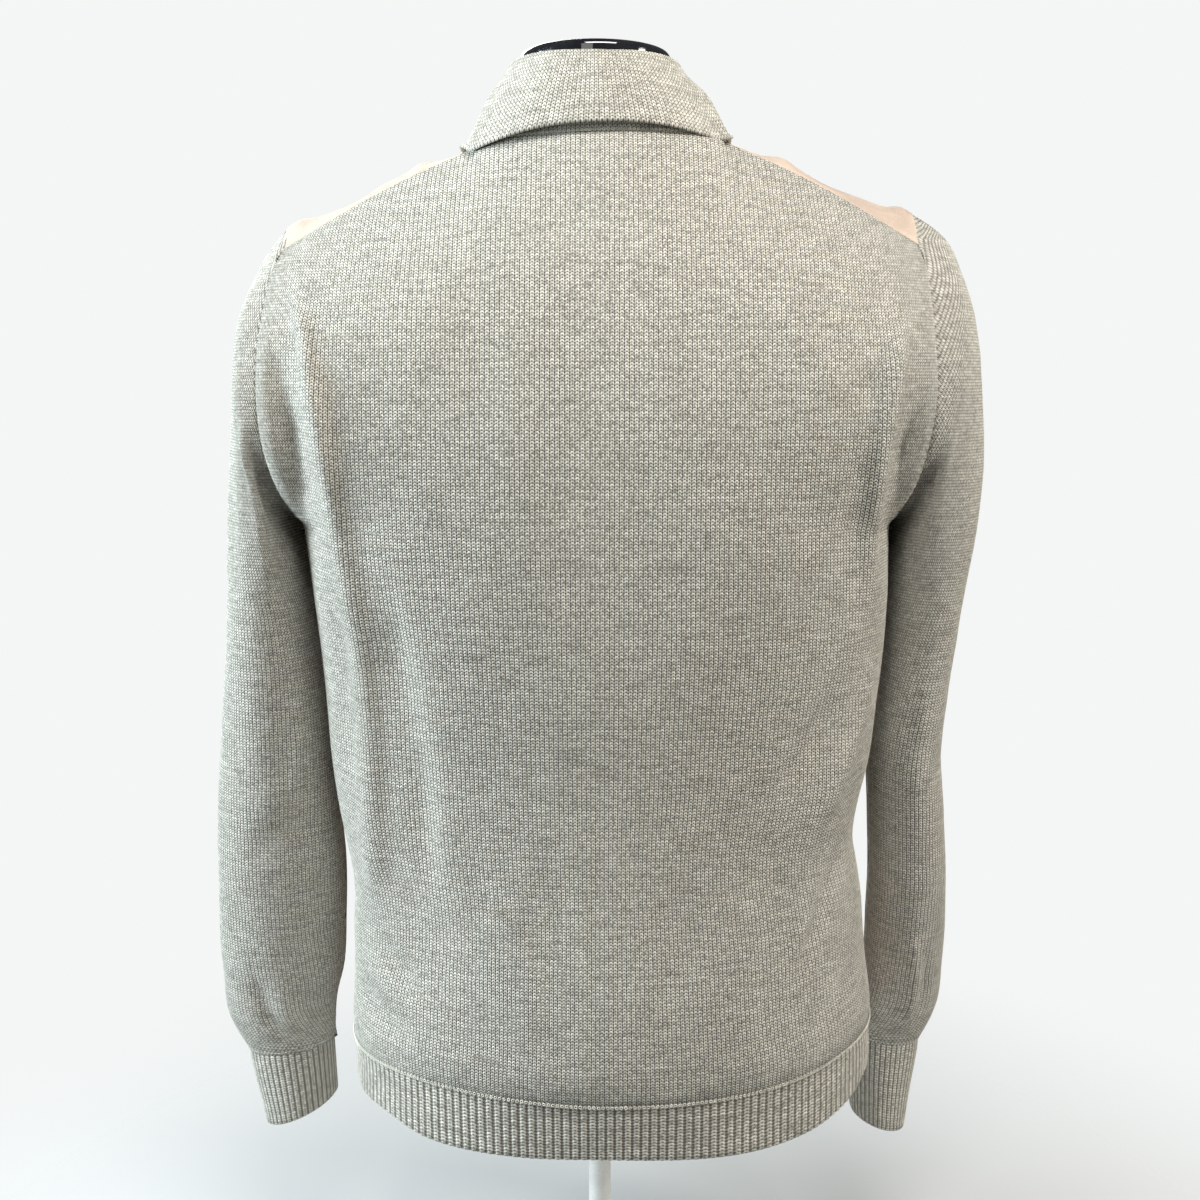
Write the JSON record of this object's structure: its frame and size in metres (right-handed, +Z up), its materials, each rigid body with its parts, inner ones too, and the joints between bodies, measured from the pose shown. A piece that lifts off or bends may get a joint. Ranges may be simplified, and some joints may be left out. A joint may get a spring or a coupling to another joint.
{
  "type": "knit jacket on a dress form",
  "caption": "Collared zip jacket with a stockinette back and sleeves, suede fronts and ribbed hem and cuffs, worn with empty sleeves by a limbless dress form on a stand.",
  "frame": {"origin": "middle of the stand's foot, on the floor", "axes": "+Z up, fronts and zip face -Y, back faces +Y, the wearer's left is +X"},
  "size_m": [0.536, 0.2755, 0.8905],
  "materials": {
    "back": "fine melange stockinette knit",
    "collar": "fine melange stockinette knit",
    "cuff_left": "1x1 rib knit",
    "cuff_right": "1x1 rib knit",
    "form_foot": "pale satin paint",
    "form_neck_cap": "gloss black",
    "form_torso": "pale matt shell",
    "front_left": "napped suede",
    "front_right": "napped suede",
    "hem_rib": "1x1 rib knit",
    "neck_band": "fine melange stockinette knit",
    "sleeve_lower_left": "fine melange stockinette knit",
    "sleeve_lower_right": "fine melange stockinette knit",
    "sleeve_upper_left": "fine melange stockinette knit",
    "sleeve_upper_right": "fine melange stockinette knit",
    "zip_chain": "matt nickel",
    "zip_pull": "matt nickel",
    "zip_slider": "matt nickel",
    "zip_tape_left": "woven tape",
    "zip_tape_right": "woven tape"
  },
  "bodies": {
    "jacket": {"back": "back", "collar": "collar", "cuff_left": "cuff_left", "cuff_right": "cuff_right", "form_foot": "form_foot", "form_neck_cap": "form_neck_cap", "form_torso": "form_torso", "front_left": "front_left", "front_right": "front_right", "hem_rib": "hem_rib", "neck_band": "neck_band", "sleeve_lower_left": "sleeve_lower_left", "sleeve_lower_right": "sleeve_lower_right", "sleeve_upper_left": "sleeve_upper_left", "sleeve_upper_right": "sleeve_upper_right", "zip_chain": "zip_chain", "zip_slider": "zip_slider", "zip_tape_left": "zip_tape_left", "zip_tape_right": "zip_tape_right"},
    "pull": {"zip_pull": "zip_pull"}
  },
  "joints": [
    {"name": "pull_hinge", "type": "hinge", "parent": "jacket", "child": "pull", "pos_m": [0, -0.08845, 0.7474], "axis": [-1, 0, 0], "range_deg": [0, 140]}
  ]
}
